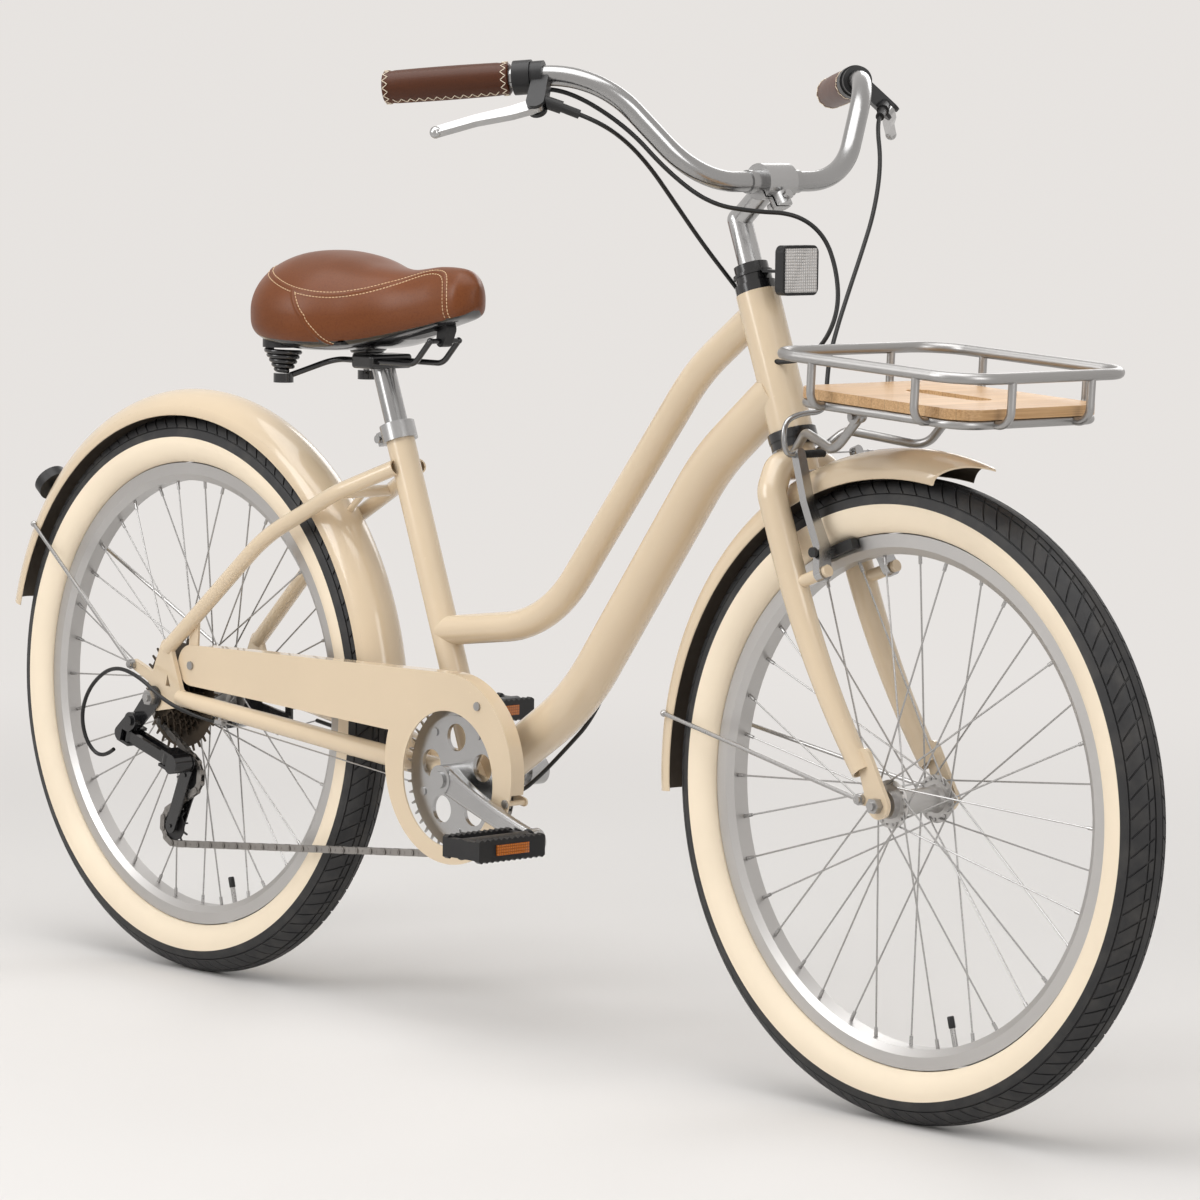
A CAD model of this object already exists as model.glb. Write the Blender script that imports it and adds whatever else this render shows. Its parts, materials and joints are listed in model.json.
"""Looks of a step-through beach cruiser bicycle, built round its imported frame."""

import json
import logging
import math
from dataclasses import dataclass
from enum import Enum
from typing import Callable, Optional, Sequence

import bpy
import numpy as np
from mathutils import Matrix, Vector


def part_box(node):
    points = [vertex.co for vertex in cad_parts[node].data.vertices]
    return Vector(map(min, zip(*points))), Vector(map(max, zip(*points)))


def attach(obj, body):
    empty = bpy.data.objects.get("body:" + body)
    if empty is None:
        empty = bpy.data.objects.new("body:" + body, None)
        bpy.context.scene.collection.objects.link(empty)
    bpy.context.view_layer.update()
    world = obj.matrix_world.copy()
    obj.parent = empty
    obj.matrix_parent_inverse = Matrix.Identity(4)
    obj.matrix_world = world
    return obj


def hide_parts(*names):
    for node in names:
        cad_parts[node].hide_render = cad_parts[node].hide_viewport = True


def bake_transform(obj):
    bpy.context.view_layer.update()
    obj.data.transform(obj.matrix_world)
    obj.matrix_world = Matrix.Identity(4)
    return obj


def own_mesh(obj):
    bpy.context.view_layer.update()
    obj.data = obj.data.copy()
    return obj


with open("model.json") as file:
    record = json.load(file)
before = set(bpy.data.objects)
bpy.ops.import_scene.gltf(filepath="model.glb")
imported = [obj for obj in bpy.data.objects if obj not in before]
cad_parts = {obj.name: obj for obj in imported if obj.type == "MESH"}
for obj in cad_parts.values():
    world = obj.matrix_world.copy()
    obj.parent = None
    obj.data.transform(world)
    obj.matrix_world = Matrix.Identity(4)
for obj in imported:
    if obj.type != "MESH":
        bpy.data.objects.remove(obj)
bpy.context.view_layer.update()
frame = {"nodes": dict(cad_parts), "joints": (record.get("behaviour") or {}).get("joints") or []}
LOG = logging.getLogger("cruiser")
JOINTS = {joint["name"]: joint for joint in frame["joints"]}
MM = 0.001
Array = np.ndarray


# Places taken from the frame

def joint_place(name: str) -> Array:
    """The point that a joint turns about, in metres."""
    return np.array(JOINTS[name]["pos_m"], float)


def joint_axis(name: str) -> Array:
    """The unit axis of a joint."""
    axis = np.array(JOINTS[name]["axis"], float)
    return axis / np.linalg.norm(axis)


REAR_AXLE = joint_place("rear_wheel_spin")
FRONT_AXLE = joint_place("front_wheel_spin")
AXLE_LEVEL = 330.0
GRIP_IN = joint_axis("shift_twist")
LEVER_NORMAL = -joint_axis("right_lever_pull")
LEVER_OUT = np.cross(GRIP_IN, LEVER_NORMAL)
LEVER_PIVOT = joint_place("right_lever_pull")
COLLAR_MIDDLE = 149.0
GRIP_END = joint_place("shift_twist") - GRIP_IN * COLLAR_MIDDLE * MM
MIRROR = np.array([1.0, -1.0, 1.0])
UP = np.array([0.0, 0.0, 1.0])
LEFT = np.array([0.0, 1.0, 0.0])
STEEP = 0.8
SIDES: dict[str, Array] = {"right": np.ones(3), "left": MIRROR}


def place(x: Array | float, y: Array | float, z: Array | float) -> Array:
    """A point in metres, from millimetres in front of the rear axle, to the left and up.

    Args:
        x: Distance in front of the rear axle, one number or an array.
        y: Distance to the left.
        z: Level, where the axles are at their own level value.

    Returns:
        The point, or points in the shape of the three broadcast together.
    """
    x, y, z = np.broadcast_arrays(x, y, z)
    return np.stack([REAR_AXLE[0] + x * MM, y * MM, REAR_AXLE[2] + (z - AXLE_LEVEL) * MM], axis=-1)


# Meshes from arrays

def unit_rows(vectors: Array) -> Array:
    """Each row divided by its length."""
    return vectors / np.maximum(np.linalg.norm(vectors, axis=-1, keepdims=True), 1e-12)


def grid_faces(rows: int, cols: int, wrap_rows: bool = False) -> Array:
    """Quads of a grid of points numbered row by row, where each row closes on itself.

    Args:
        rows: Number of rows of points.
        cols: Number of points in a row.
        wrap_rows: Whether the last row joins the first.

    Returns:
        One row of four point numbers for each quad.
    """
    i = np.arange(rows if wrap_rows else rows - 1)[:, None]
    j = np.arange(cols)[None, :]
    below = (i + 1) % rows
    beside = (j + 1) % cols
    corners = [i * cols + j, i * cols + beside, below * cols + beside, below * cols + j]
    return np.stack(np.broadcast_arrays(*corners), axis=-1).reshape(-1, 4)


def add_mesh(name: str, points: Array, faces: list[list[int]],
             smooth_angle: float = 40.0) -> bpy.types.Object:
    """A mesh object at the origin, smooth but for edges sharper than an angle.

    Args:
        name: The piece's name.
        points: One row of x, y, z in metres for each point.
        faces: Point numbers of each face.
        smooth_angle: Edges that turn by more degrees than this stay sharp.

    Returns:
        The new object.
    """
    mesh = bpy.data.meshes.new(name)
    mesh.from_pydata(points.reshape(-1, 3).tolist(), [], faces)
    mesh.update()
    mesh.shade_smooth()
    mesh.set_sharp_from_angle(angle=math.radians(smooth_angle))
    made = bpy.data.objects.new(name, mesh)
    bpy.context.scene.collection.objects.link(made)
    return made


def grid_piece(name: str, points: Array, wrap_rows: bool = False, caps: bool = True,
               smooth_angle: float = 40.0) -> bpy.types.Object:
    """A surface over rings of points, with flat caps on the first and last ring.

    Args:
        name: The piece's name.
        points: Array of rings by points in a ring by 3.
        wrap_rows: Whether the last ring joins the first, which leaves no caps.
        caps: Whether the first and last rings get a cap.
        smooth_angle: Edges that turn by more degrees than this stay sharp.

    Returns:
        The new object.
    """
    rows, cols = points.shape[:2]
    faces = grid_faces(rows, cols, wrap_rows).tolist()
    if caps and not wrap_rows:
        faces.append(list(range(cols))[::-1])
        faces.append(list(range((rows - 1) * cols, rows * cols)))
    return add_mesh(name, points, faces, smooth_angle)


def round_angles(count: int) -> Array:
    """Angles evenly round a circle, in radians."""
    return np.linspace(0.0, 2.0 * math.pi, count, endpoint=False)


def tube_rings(path: Array, radius: float, sides: int, guide: Array) -> Array:
    """Rings round a path: each point is the path's, plus the radius times cos and sin of its turn.

    Args:
        path: Points along the middle, one row each.
        radius: The tube's radius, in metres.
        sides: Points in a ring.
        guide: A vector that the path never follows.

    Returns:
        Array of path points by sides by 3.
    """
    tangent = unit_rows(np.gradient(path, axis=0))
    side = unit_rows(np.cross(tangent, guide))
    up = np.cross(side, tangent)
    turn = round_angles(sides)[None, :, None]
    return path[:, None, :] + radius * (np.cos(turn) * side[:, None, :] - np.sin(turn) * up[:, None, :])


def lathe_rings(base: Array, axis: Array, profile: Array, sides: int) -> Array:
    """A profile of (along, radius) in mm turned round an axis from a base point."""
    guide = UP if abs(axis[2]) < STEEP else LEFT
    side = unit_rows(np.cross(axis, guide))
    up = np.cross(side, axis)
    turn = round_angles(sides)[None, :, None]
    along = profile[:, 0][:, None, None] * MM
    radius = profile[:, 1][:, None, None] * MM
    return base + axis * along + radius * (np.cos(turn) * side - np.sin(turn) * up)


def travel_along(path: Array) -> Array:
    """Distance walked along a path up to each of its points."""
    return np.concatenate([[0.0], np.cumsum(np.linalg.norm(np.diff(path, axis=0), axis=1))])


def rows_at(wanted: Array, travel: Array, rows: Array) -> Array:
    """Rows of an array at distances along a path, by straight lines between its own rows."""
    return np.stack([np.interp(wanted, travel, column) for column in rows.T], axis=-1)


def nurbs_points(points: Sequence[Array], steps: int = 10) -> Array:
    """Points along a smooth spline that has the given points as its control points.

    Args:
        points: The route's points.
        steps: Points worked out for each control point.

    Returns:
        One row for each point of the line.
    """
    curve = bpy.data.curves.new("route", "CURVE")
    curve.dimensions = "3D"
    spline = curve.splines.new("NURBS")
    spline.points.add(len(points) - 1)
    flat = np.hstack([np.array(points, float), np.ones((len(points), 1))])
    spline.points.foreach_set("co", flat.ravel())
    spline.order_u = 3
    spline.use_endpoint_u = True
    spline.resolution_u = steps
    carrier = bpy.data.objects.new("route", curve)
    bpy.context.scene.collection.objects.link(carrier)
    bpy.context.view_layer.update()
    line = bpy.data.meshes.new_from_object(carrier)
    found = np.zeros(len(line.vertices) * 3)
    line.vertices.foreach_get("co", found)
    bpy.data.meshes.remove(line)
    bpy.data.objects.remove(carrier)
    bpy.data.curves.remove(curve)
    return found.reshape(-1, 3)


def smooth_step(low: float, high: float, value: Array) -> Array:
    """0 below low, 1 above high and an S curve between."""
    share = np.clip((value - low) / (high - low), 0.0, 1.0)
    return share * share * (3.0 - 2.0 * share)


def copies_along(template: Array, path: Array, along: Array, across: Array, out: Array) -> Array:
    """A small template placed at each point of a path, on three given directions.

    Args:
        template: Points of the template, as (along, across, out) in metres.
        path: Where each copy goes.
        along: The first direction at each place.
        across: The second direction at each place.
        out: The third direction at each place.

    Returns:
        Array of copies by template points by 3.
    """
    basis = np.stack([along, across, out], axis=1)
    return path[:, None, :] + template[None, :, :] @ basis


STITCH_RINGS = np.array([[-1.0, 0.25], [-0.8, 0.75], [-0.3, 1.0], [0.3, 1.0], [0.8, 0.75], [1.0, 0.25]])


def stitch_piece(name: str, path: Array, along: Array, out: Array, length: float,
                 radius: float) -> bpy.types.Object:
    """A row of thread stitches: one short swelling tube at each point of a path.

    Args:
        name: The piece's name.
        path: The middle of each stitch.
        along: The direction that each stitch lies in.
        out: The direction away from the leather.
        length: Half the length of a stitch, in metres.
        radius: The thread's radius, in metres.

    Returns:
        The new object.
    """
    sides = 6
    turn = round_angles(sides)[None, :]
    rings = np.stack(np.broadcast_arrays(
        STITCH_RINGS[:, :1] * length, STITCH_RINGS[:, 1:] * radius * np.cos(turn),
        STITCH_RINGS[:, 1:] * radius * np.sin(turn)), axis=-1).reshape(-1, 3)
    across = unit_rows(np.cross(out, along))
    points = copies_along(rings, path, unit_rows(along), across, unit_rows(out))
    count = len(STITCH_RINGS)
    one = grid_faces(count, sides)
    caps = np.array([list(range(sides))[::-1], list(range((count - 1) * sides, count * sides))])
    offsets = np.arange(len(path)) * count * sides
    faces = (one[None] + offsets[:, None, None]).reshape(-1, 4).tolist()
    faces += (caps[None] + offsets[:, None, None]).reshape(-1, sides).tolist()
    return add_mesh(name, points, faces, 80.0)


# Shader nodes

Tree = bpy.types.NodeTree
Node = bpy.types.Node
Socket = bpy.types.NodeSocket
Sockets = bpy.types.bpy_prop_collection
Feed = Socket | float | tuple[float, ...]
SOCKET_KINDS = {1: "NodeSocketFloat", 3: "NodeSocketVector", 4: "NodeSocketColor"}
BUMP_DEPTH = 0.0004


def feed(tree: Tree, node: Node, inputs: dict[str | int, Feed]) -> None:
    """Links the sockets given to a node's inputs, and sets plain values on the inputs themselves.

    Args:
        tree: The node's tree.
        node: The node.
        inputs: What each input gets, by its name or number.
    """
    for label, value in inputs.items():
        if isinstance(value, Socket):
            tree.links.new(value, node.inputs[label])
        else:
            node.inputs[label].default_value = value


def add_node(tree: Tree, kind: str, inputs: Optional[dict[str | int, Feed]] = None,
             **options: object) -> Node:
    """A shader node with its options set and its inputs fed.

    Args:
        tree: Where the node goes.
        kind: The node's type, without its prefix.
        inputs: What each input gets, by its name or number.
        options: Values of the node's own settings.

    Returns:
        The new node.
    """
    node = tree.nodes.new("ShaderNode" + kind)
    for option, value in options.items():
        setattr(node, option, value)
    feed(tree, node, inputs or {})
    return node


def object_spot(tree: Tree) -> Socket:
    """The place on the piece, in its own coordinates."""
    return add_node(tree, "TexCoord").outputs["Object"]


def calculate(tree: Tree, operation: str, *values: Feed) -> Socket:
    """The result of an operation on sockets and numbers."""
    return add_node(tree, "Math", dict(enumerate(values)), operation=operation).outputs["Value"]


def noise(tree: Tree, spot: Feed, scale: Feed, detail: float) -> Socket:
    """Soft noise at a place, between 0 and 1."""
    return add_node(tree, "TexNoise", {"Vector": spot, "Scale": scale, "Detail": detail}).outputs["Fac"]


def remap(tree: Tree, value: Feed, low: float, high: float, first: float = 0.0, last: float = 1.0,
          **options: object) -> Socket:
    """A value carried from the range low to high to the range first to last, and held at its ends."""
    inputs = {"Value": value, "From Min": low, "From Max": high, "To Min": first, "To Max": last}
    return add_node(tree, "MapRange", inputs, **options).outputs["Result"]


def mix_colours(tree: Tree, share: Feed, first: Feed, second: Feed, way: str = "MIX") -> Socket:
    """Two colours mixed by a share."""
    inputs = {"Factor": share, "A": first, "B": second}
    return add_node(tree, "Mix", inputs, data_type="RGBA", blend_type=way).outputs["Result"]


def mix_shaders(tree: Tree, share: Feed, first: Socket, second: Socket, target: str) -> None:
    """Sends two shaders, mixed by a share, to the tree's output node."""
    mix = add_node(tree, "MixShader", {"Fac": share, 1: first, 2: second})
    feed(tree, tree.nodes[target], {"Surface": mix.outputs["Shader"]})


def bump_normal(tree: Tree, height: Socket, strength: float) -> Socket:
    """The normal of a surface that has a fine height on it."""
    inputs = {"Height": height, "Strength": strength, "Distance": BUMP_DEPTH}
    return add_node(tree, "Bump", inputs).outputs["Normal"]


def opaque(colour: Sequence[float]) -> tuple[float, ...]:
    """A colour with full cover, as a colour socket takes it."""
    return (*colour, 1.0)


# Shared surface effects

DUST_COLOUR = (0.32, 0.29, 0.25)
CREASE_TINT = (0.82, 0.78, 0.74)
PRISM_EDGE = 0.35
COAT_ROUGHNESS = 0.04
DRIFT_SCALE = 7.0
LEATHER_PATCHES = 60.0


class Effect(Enum):
    """The shader groups that several finishes share."""

    DRIFT = "colour_drift"
    GRAIN = "fine_grain"
    BRUSHED = "brushed_lines"
    PEBBLE = "leather_pebble"
    DUST = "settled_dust"
    PRISM = "lens_prisms"


class EffectLibrary:
    """Builds each shared shader group once."""

    def __init__(self) -> None:
        self.groups: dict[Effect, Tree] = {}

    def get(self, effect: Effect) -> Tree:
        """The group for an effect, built when first asked for.

        Args:
            effect: Which effect.

        Returns:
            The shader node group.
        """
        if effect not in self.groups:
            builders: dict[Effect, Callable[[], Tree]] = {
                Effect.DRIFT: self._drift, Effect.GRAIN: self._grain, Effect.BRUSHED: self._brushed,
                Effect.PEBBLE: self._pebble, Effect.DUST: self._dust, Effect.PRISM: self._prism}
            self.groups[effect] = builders[effect]()
        return self.groups[effect]

    @staticmethod
    def _begin(effect: Effect, **inputs: float | tuple[float, ...]) -> tuple[Tree, Sockets]:
        """A new group with a place and other inputs, each of the kind that its first value has.

        Args:
            effect: Which effect.
            inputs: First value of each input.

        Returns:
            The group, and the sockets that bring its inputs.
        """
        tree = bpy.data.node_groups.new(effect.value, "ShaderNodeTree")
        for label, value in {"Vector": (0.0, 0.0, 0.0), **inputs}.items():
            kind = SOCKET_KINDS[np.size(value)]
            tree.interface.new_socket(label, in_out="INPUT", socket_type=kind).default_value = value
        return tree, tree.nodes.new("NodeGroupInput").outputs

    @staticmethod
    def _end(tree: Tree, **results: Socket) -> Tree:
        """Gives a group its outputs, a colour where one is named so and else a number."""
        for label in results:
            kind = SOCKET_KINDS[4 if label == "Colour" else 1]
            tree.interface.new_socket(label, in_out="OUTPUT", socket_type=kind)
        feed(tree, tree.nodes.new("NodeGroupOutput"), results)
        return tree

    @staticmethod
    def _roughness(tree: Tree, height: Socket, given: Sockets) -> Socket:
        """A roughness that follows a height, spread round a middle value."""
        centred = calculate(tree, "SUBTRACT", height, 0.5)
        return calculate(tree, "MULTIPLY_ADD", centred, given["Spread"], given["Roughness"])

    def _drift(self) -> Tree:
        """Slow lightness changes of a colour over the surface."""
        tree, given = self._begin(Effect.DRIFT, Colour=(0.5, 0.5, 0.5, 1.0), Scale=6.0, Amount=0.1)
        wave = remap(tree, noise(tree, given["Vector"], given["Scale"], detail=5.0), 0.3, 0.7, first=-1.0)
        lightness = calculate(tree, "MULTIPLY_ADD", wave, given["Amount"], 1.0)
        shade = add_node(tree, "HueSaturation", {"Value": lightness, "Color": given["Colour"]})
        return self._end(tree, Colour=shade.outputs["Color"])

    def _grain(self) -> Tree:
        """Fine moulded grain: a height for bump and a roughness round a middle value."""
        tree, given = self._begin(Effect.GRAIN, Scale=900.0, Roughness=0.5, Spread=0.1)
        height = noise(tree, given["Vector"], given["Scale"], detail=3.0)
        return self._end(tree, Height=height, Roughness=self._roughness(tree, height, given))

    def _brushed(self) -> Tree:
        """Long fine polishing lines: noise stretched along one direction."""
        tree, given = self._begin(Effect.BRUSHED, Stretch=(40.0, 900.0, 900.0), Roughness=0.25, Spread=0.15)
        inputs = {0: given["Vector"], 1: given["Stretch"]}
        stretched = add_node(tree, "VectorMath", inputs, operation="MULTIPLY").outputs["Vector"]
        height = noise(tree, stretched, 1.0, detail=4.0)
        return self._end(tree, Height=height, Roughness=self._roughness(tree, height, given))

    def _pebble(self) -> Tree:
        """Leather: pebbled cells and fine pores, as a height and a crease mask."""
        tree, given = self._begin(Effect.PEBBLE, Scale=700.0)
        inputs = {"Vector": given["Vector"], "Scale": given["Scale"]}
        cells = add_node(tree, "TexVoronoi", inputs, feature="SMOOTH_F1").outputs["Distance"]
        pores = noise(tree, given["Vector"], 420.0, detail=4.0)
        height = calculate(tree, "MULTIPLY_ADD", cells, 0.6, pores)
        return self._end(tree, Height=height, Crease=remap(tree, cells, 0.35, 0.75))

    def _dust(self) -> Tree:
        """A thin film of dust that gathers in patches."""
        tree, given = self._begin(Effect.DUST, Colour=(0.03, 0.03, 0.03, 1.0), Amount=0.1)
        patches = remap(tree, noise(tree, given["Vector"], 38.0, detail=8.0), 0.45, 0.75)
        share = calculate(tree, "MULTIPLY", patches, given["Amount"])
        return self._end(tree, Colour=mix_colours(tree, share, given["Colour"], opaque(DUST_COLOUR)))

    def _prism(self) -> Tree:
        """Rows of small prisms: the lower of two triangle waves, one across and one up."""
        tree, given = self._begin(Effect.PRISM, Size=0.0016)
        parts = add_node(tree, "SeparateXYZ", {"Vector": given["Vector"]}).outputs
        waves = [calculate(tree, "PINGPONG", parts[axis], given["Size"]) for axis in "YZ"]
        height = calculate(tree, "DIVIDE", calculate(tree, "MINIMUM", *waves), given["Size"])
        return self._end(tree, Height=height, Seam=remap(tree, height, 0.0, 0.4, first=1.0, last=0.0))


EFFECTS = EffectLibrary()


def add_effect(tree: Tree, effect: Effect, **inputs: Feed) -> Sockets:
    """The outputs of a shared effect placed in a material, with its inputs fed."""
    node = tree.nodes.new("ShaderNodeGroup")
    node.node_tree = EFFECTS.get(effect)
    feed(tree, node, inputs)
    return node.outputs


# Finishes

class Texture(Enum):
    """How a finish's fine surface is worked out."""

    GRAIN = "grain"
    BRUSHED = "brushed"
    LEATHER = "leather"
    PRISM = "prism"


@dataclass(frozen=True)
class Finish:
    """One surface finish, from its colour, gloss and fine texture.

    Args:
        name: Name of the material.
        colour: Base colour, linear.
        metallic: 1 for bare metal.
        roughness: Middle roughness.
        spread: How far the roughness varies.
        texture: Kind of fine texture.
        scale: Size of the fine texture, in features per metre.
        bump: Strength of the fine bump.
        coat: Weight of a clear coat.
        drift: Lightness change over the surface.
        dust: Amount of dust.
        stretch: Direction of brushed lines.
        specular: Strength of the mirror part of a surface that isn't metal.
    """

    name: str
    colour: tuple[float, float, float]
    metallic: float = 0.0
    roughness: float = 0.5
    spread: float = 0.1
    texture: Texture = Texture.GRAIN
    scale: float = 900.0
    bump: float = 0.05
    coat: float = 0.0
    drift: float = 0.05
    dust: float = 0.0
    stretch: tuple[float, float, float] = (60.0, 900.0, 900.0)
    specular: float = 0.5

    def material(self) -> bpy.types.Material:
        """The material, built once.

        Returns:
            The Blender material of this finish.
        """
        known = bpy.data.materials.get(self.name)
        return known if known else self._build()

    def _build(self) -> bpy.types.Material:
        """The node tree: drifted and dusted colour, textured roughness and bump."""
        material, tree, shader = new_material(self.name)
        spot = object_spot(tree)
        gloss = {"Roughness": self.roughness, "Spread": self.spread}
        colour = add_effect(tree, Effect.DRIFT, Vector=spot, Colour=opaque(self.colour), Amount=self.drift,
                            Scale=DRIFT_SCALE)["Colour"]
        if self.dust > 0.0:
            colour = add_effect(tree, Effect.DUST, Vector=spot, Colour=colour, Amount=self.dust)["Colour"]
        if self.texture is Texture.LEATHER:
            fine = add_effect(tree, Effect.PEBBLE, Vector=spot, Scale=self.scale)
            colour = mix_colours(tree, fine["Crease"], colour, opaque(CREASE_TINT), "MULTIPLY")
            patches = add_effect(tree, Effect.GRAIN, Vector=spot, Scale=LEATHER_PATCHES, **gloss)
            roughness = patches["Roughness"]
        elif self.texture is Texture.PRISM:
            fine = add_effect(tree, Effect.PRISM, Vector=spot)
            edge = [PRISM_EDGE * part for part in self.colour]
            colour = mix_colours(tree, fine["Seam"], colour, opaque(edge))
            roughness = self.roughness
        elif self.texture is Texture.BRUSHED:
            fine = add_effect(tree, Effect.BRUSHED, Vector=spot, Stretch=self.stretch, **gloss)
            roughness = fine["Roughness"]
        else:
            fine = add_effect(tree, Effect.GRAIN, Vector=spot, Scale=self.scale, **gloss)
            roughness = fine["Roughness"]
        feed(tree, shader, {
            "Base Color": colour, "Roughness": roughness, "Metallic": self.metallic,
            "Specular IOR Level": self.specular, "Coat Weight": self.coat, "Coat Roughness": COAT_ROUGHNESS,
            "Normal": bump_normal(tree, fine["Height"], self.bump)})
        return material


def new_material(name: str) -> tuple[bpy.types.Material, Tree, Node]:
    """A material with nodes, its tree and its shader."""
    material = bpy.data.materials.new(name)
    material.use_nodes = True
    return material, material.node_tree, material.node_tree.nodes["Principled BSDF"]


CREAM = Finish("cream_gloss_paint", (0.70, 0.562, 0.392), roughness=0.26, spread=0.06, scale=260.0,
               bump=0.012, coat=0.7, drift=0.025)
FENDER_INSIDE = Finish("fender_inside", (0.075, 0.055, 0.036), roughness=0.6, dust=0.1)
POLISHED = Finish("polished_tube", (0.36, 0.36, 0.36), metallic=1.0, roughness=0.22, spread=0.10,
                  texture=Texture.BRUSHED, bump=0.012, drift=0.04, stretch=(500.0, 60.0, 500.0))
FORGED = Finish("forged_aluminium", (0.44, 0.44, 0.44), metallic=1.0, roughness=0.25, spread=0.12,
                scale=1400.0, bump=0.02, drift=0.05)
SATIN_TUBE = Finish("satin_tube", (0.37, 0.365, 0.36), metallic=1.0, roughness=0.36, spread=0.12,
                    texture=Texture.BRUSHED, bump=0.02, drift=0.05, stretch=(120.0, 120.0, 900.0))
RIM_METAL = Finish("rim_aluminium", (0.52, 0.51, 0.50), metallic=1.0, roughness=0.40, spread=0.10,
                   scale=1800.0, bump=0.015, drift=0.03)
SPOKE_STEEL = Finish("spoke_steel", (0.42, 0.415, 0.41), metallic=1.0, roughness=0.28, spread=0.08, bump=0.01)
BOLT_STEEL = Finish("bolt_steel", (0.40, 0.395, 0.39), metallic=1.0, roughness=0.34, spread=0.15,
                    scale=1600.0, bump=0.03, drift=0.08)
CHAIN_STEEL = Finish("oiled_chain_steel", (0.30, 0.285, 0.27), metallic=1.0, roughness=0.38, spread=0.2,
                     scale=700.0, bump=0.03, drift=0.15, dust=0.08)
COG_STEEL = Finish("browned_cog_steel", (0.075, 0.058, 0.042), metallic=0.85, roughness=0.42, spread=0.2,
                   scale=500.0, bump=0.03, drift=0.25, dust=0.06)
BLACK_PAINT = Finish("black_gloss_paint", (0.008, 0.008, 0.009), roughness=0.20, spread=0.06, scale=600.0,
                     bump=0.01, coat=0.4, drift=0.05)
BLACK_PLASTIC = Finish("black_moulded_plastic", (0.011, 0.011, 0.012), roughness=0.40, spread=0.12,
                       scale=1500.0, bump=0.06, drift=0.08, dust=0.02, specular=0.4)
CABLE_SKIN = Finish("cable_skin", (0.009, 0.009, 0.009), roughness=0.36, spread=0.08, scale=800.0, bump=0.02,
                    specular=0.4)
BLACK_RUBBER = Finish("pad_rubber", (0.018, 0.018, 0.018), roughness=0.68, spread=0.12, scale=700.0,
                      bump=0.08, dust=0.05)
SADDLE_LEATHER = Finish("saddle_leather", (0.152, 0.043, 0.010), roughness=0.36, spread=0.10,
                        texture=Texture.LEATHER, scale=620.0, bump=0.10, drift=0.13, specular=0.3)
GRIP_LEATHER = Finish("grip_leather", (0.078, 0.021, 0.006), roughness=0.38, spread=0.10,
                      texture=Texture.LEATHER, scale=800.0, bump=0.10, drift=0.12, specular=0.3)
THREAD = Finish("cream_thread", (0.72, 0.52, 0.31), roughness=0.75, scale=3000.0, bump=0.25, drift=0.1)
GRIP_THREAD = Finish("pale_thread", (0.80, 0.69, 0.54), roughness=0.75, scale=3000.0, bump=0.25, drift=0.1)
AMBER = Finish("amber_lens", (0.50, 0.13, 0.004), roughness=0.2, texture=Texture.PRISM, bump=0.6, coat=0.6)
RED_LENS = Finish("dark_red_lens", (0.20, 0.006, 0.005), roughness=0.2, texture=Texture.PRISM, bump=0.6,
                  coat=0.6)
CLEAR_LENS = Finish("clear_lens", (0.72, 0.71, 0.70), metallic=0.35, roughness=0.16, texture=Texture.PRISM,
                    bump=0.8, coat=0.8)


TREAD_BLACK = (0.015, 0.015, 0.016)
WALL_PALE = (0.90, 0.775, 0.60)
WALL_BLUR = 0.001
STRIPS_PER_METRE = 52.0
BAMBOO_DARK = (0.42, 0.23, 0.092)
BAMBOO_LIGHT = (0.70, 0.455, 0.235)
BAMBOO_GRAIN = (620.0, 13.0, 620.0)


def tyre_material(edge: float) -> bpy.types.Material:
    """Black tread with pale walls, split by the piece's own wall attribute.

    Args:
        edge: Value of the attribute where the pale wall starts.

    Returns:
        The material, built once.
    """
    known = bpy.data.materials.get("tyre_two_tone")
    if known:
        return known
    material, tree, shader = new_material("tyre_two_tone")
    spot = object_spot(tree)
    wall = add_node(tree, "Attribute", attribute_name="wall").outputs["Fac"]
    share = remap(tree, wall, edge - WALL_BLUR, edge + WALL_BLUR)
    black = add_effect(tree, Effect.DUST, Vector=spot, Colour=opaque(TREAD_BLACK), Amount=0.08)
    pale = add_effect(tree, Effect.DRIFT, Vector=spot, Colour=opaque(WALL_PALE), Amount=0.03, Scale=9.0)
    grain = add_effect(tree, Effect.GRAIN, Vector=spot, Scale=800.0, Roughness=0.58, Spread=0.12)
    feed(tree, shader, {
        "Base Color": mix_colours(tree, share, black["Colour"], pale["Colour"]),
        "Roughness": grain["Roughness"], "Normal": bump_normal(tree, grain["Height"], 0.06)})
    return material


def bamboo_material() -> bpy.types.Material:
    """Bamboo board: strips laid side by side across X, each with its own shade and long grain along Y.

    Returns:
        The new material.
    """
    material, tree, shader = new_material("bamboo_board")
    spot = object_spot(tree)
    across = add_node(tree, "SeparateXYZ", {"Vector": spot}).outputs["X"]
    strip = calculate(tree, "MULTIPLY", across, STRIPS_PER_METRE)
    number = calculate(tree, "FLOOR", strip)
    shade = add_node(tree, "TexWhiteNoise", {"W": number}, noise_dimensions="1D").outputs["Value"]
    joint_line = remap(tree, calculate(tree, "PINGPONG", strip, 0.5), 0.0, 0.03, first=0.62)
    grain = add_effect(tree, Effect.BRUSHED, Vector=spot, Stretch=BAMBOO_GRAIN, Roughness=0.46, Spread=0.2)
    streaks = calculate(tree, "MULTIPLY", remap(tree, grain["Height"], 0.34, 0.66), 0.6)
    tone = calculate(tree, "MULTIPLY_ADD", shade, 0.4, streaks)
    board = mix_colours(tree, tone, opaque(BAMBOO_DARK), opaque(BAMBOO_LIGHT))
    feed(tree, shader, {
        "Base Color": mix_colours(tree, 1.0, board, joint_line, "MULTIPLY"), "Roughness": grain["Roughness"],
        "Normal": bump_normal(tree, grain["Height"], 0.08), "Coat Weight": 0.15})
    return material


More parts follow.
